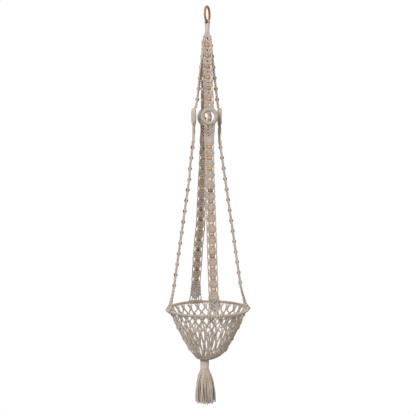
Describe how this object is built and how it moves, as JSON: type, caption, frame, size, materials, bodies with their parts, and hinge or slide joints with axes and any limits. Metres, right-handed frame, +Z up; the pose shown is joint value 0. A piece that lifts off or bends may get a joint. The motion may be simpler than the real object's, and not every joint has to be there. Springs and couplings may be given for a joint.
{
  "type": "hanging macrame planter",
  "caption": "Hanging knotted-cord planter: a wooden ring, beaded arms with wrapped medallions, a hoop rim, a net basket and a tassel below.",
  "frame": {"origin": "the seat for a hook: the inner top of the wooden ring, on the planter's middle axis", "axes": "+Z up along the middle axis; the front arm lies close to -Y, the right arm close to +X"},
  "size_m": [0.327, 0.327, 1.545],
  "materials": {
    "cotton_cord": "matt twisted cotton, pale greige",
    "bead_wood": "satin varnish, from pale to dark brown",
    "ring_wood": "satin varnish, warm brown",
    "hoop_cane": "bare cane, hidden"
  },
  "bodies": {
    "ring": {"hanging_ring": "ring_wood"},
    "loops": {"ring_loops": "cotton_cord"},
    "neck": {"neck_core": "cotton_cord", "neck_wrap": "cotton_cord"},
    "hanger": {"front_upper_band": "cotton_cord", "right_upper_band": "cotton_cord", "back_upper_band": "cotton_cord", "left_upper_band": "cotton_cord", "front_upper_beads": "bead_wood", "right_upper_beads": "bead_wood", "back_upper_beads": "bead_wood", "left_upper_beads": "bead_wood", "front_medallion_ring": "ring_wood", "right_medallion_ring": "ring_wood", "back_medallion_ring": "ring_wood", "left_medallion_ring": "ring_wood", "front_medallion_wrap": "cotton_cord", "right_medallion_wrap": "cotton_cord", "back_medallion_wrap": "cotton_cord", "left_medallion_wrap": "cotton_cord", "front_medallion_cord": "cotton_cord", "right_medallion_cord": "cotton_cord", "back_medallion_cord": "cotton_cord", "left_medallion_cord": "cotton_cord", "front_chevron": "cotton_cord", "right_chevron": "cotton_cord", "back_chevron": "cotton_cord", "left_chevron": "cotton_cord", "front_lower_band": "cotton_cord", "right_lower_band": "cotton_cord", "back_lower_band": "cotton_cord", "left_lower_band": "cotton_cord", "front_lower_beads": "bead_wood", "right_lower_beads": "bead_wood", "back_lower_beads": "bead_wood", "left_lower_beads": "bead_wood", "front_foot": "cotton_cord", "right_foot": "cotton_cord", "back_foot": "cotton_cord", "left_foot": "cotton_cord", "rim_hoop": "hoop_cane", "rim_wrap": "cotton_cord", "basket_net": "cotton_cord", "basket_gather": "cotton_cord"},
    "front_bead": {"front_medallion_bead": "bead_wood"},
    "right_bead": {"right_medallion_bead": "bead_wood"},
    "back_bead": {"back_medallion_bead": "bead_wood"},
    "left_bead": {"left_medallion_bead": "bead_wood"},
    "collar": {"tassel_core": "cotton_cord", "tassel_collar": "cotton_cord"},
    "skirt": {"tassel_skirt": "cotton_cord"}
  },
  "joints": [
    {"name": "ring_turn", "type": "hinge", "parent": "ring", "child": "loops", "pos_m": [0, 0, -0.0245], "axis": [0.848, -0.5299, 0], "range_deg": [-90, 90]},
    {"name": "neck_rock", "type": "hinge", "parent": "loops", "child": "neck", "pos_m": [0, 0, -0.0535], "axis": [0.5299, 0.848, 0], "range_deg": [-55, 55]},
    {"name": "planter_twist", "type": "hinge", "parent": "neck", "child": "hanger", "pos_m": [0, 0, -0.0925], "axis": [0, 0, 1], "range_deg": [-90, 90], "stiffness_Nm_per_rad": 0.05},
    {"name": "front_bead_spin", "type": "hinge", "parent": "hanger", "child": "front_bead", "pos_m": [-0.00384, -0.04885, -0.4205], "axis": [0, 0, 1], "continuous": true},
    {"name": "right_bead_spin", "type": "hinge", "parent": "hanger", "child": "right_bead", "pos_m": [0.04898, -0.00128, -0.4205], "axis": [0, 0, 1], "continuous": true},
    {"name": "back_bead_spin", "type": "hinge", "parent": "hanger", "child": "back_bead", "pos_m": [0.00171, 0.04897, -0.4205], "axis": [0, 0, 1], "continuous": true},
    {"name": "left_bead_spin", "type": "hinge", "parent": "hanger", "child": "left_bead", "pos_m": [-0.05397, -0.00188, -0.4205], "axis": [0, 0, 1], "continuous": true},
    {"name": "tassel_swing", "type": "hinge", "parent": "hanger", "child": "collar", "pos_m": [-0.01, 0.0025, -1.383], "axis": [0, 1, 0], "range_deg": [-30, 30]},
    {"name": "skirt_swing", "type": "hinge", "parent": "collar", "child": "skirt", "pos_m": [-0.01, 0.0025, -1.421], "axis": [1, 0, 0], "range_deg": [-20, 20]}
  ]
}
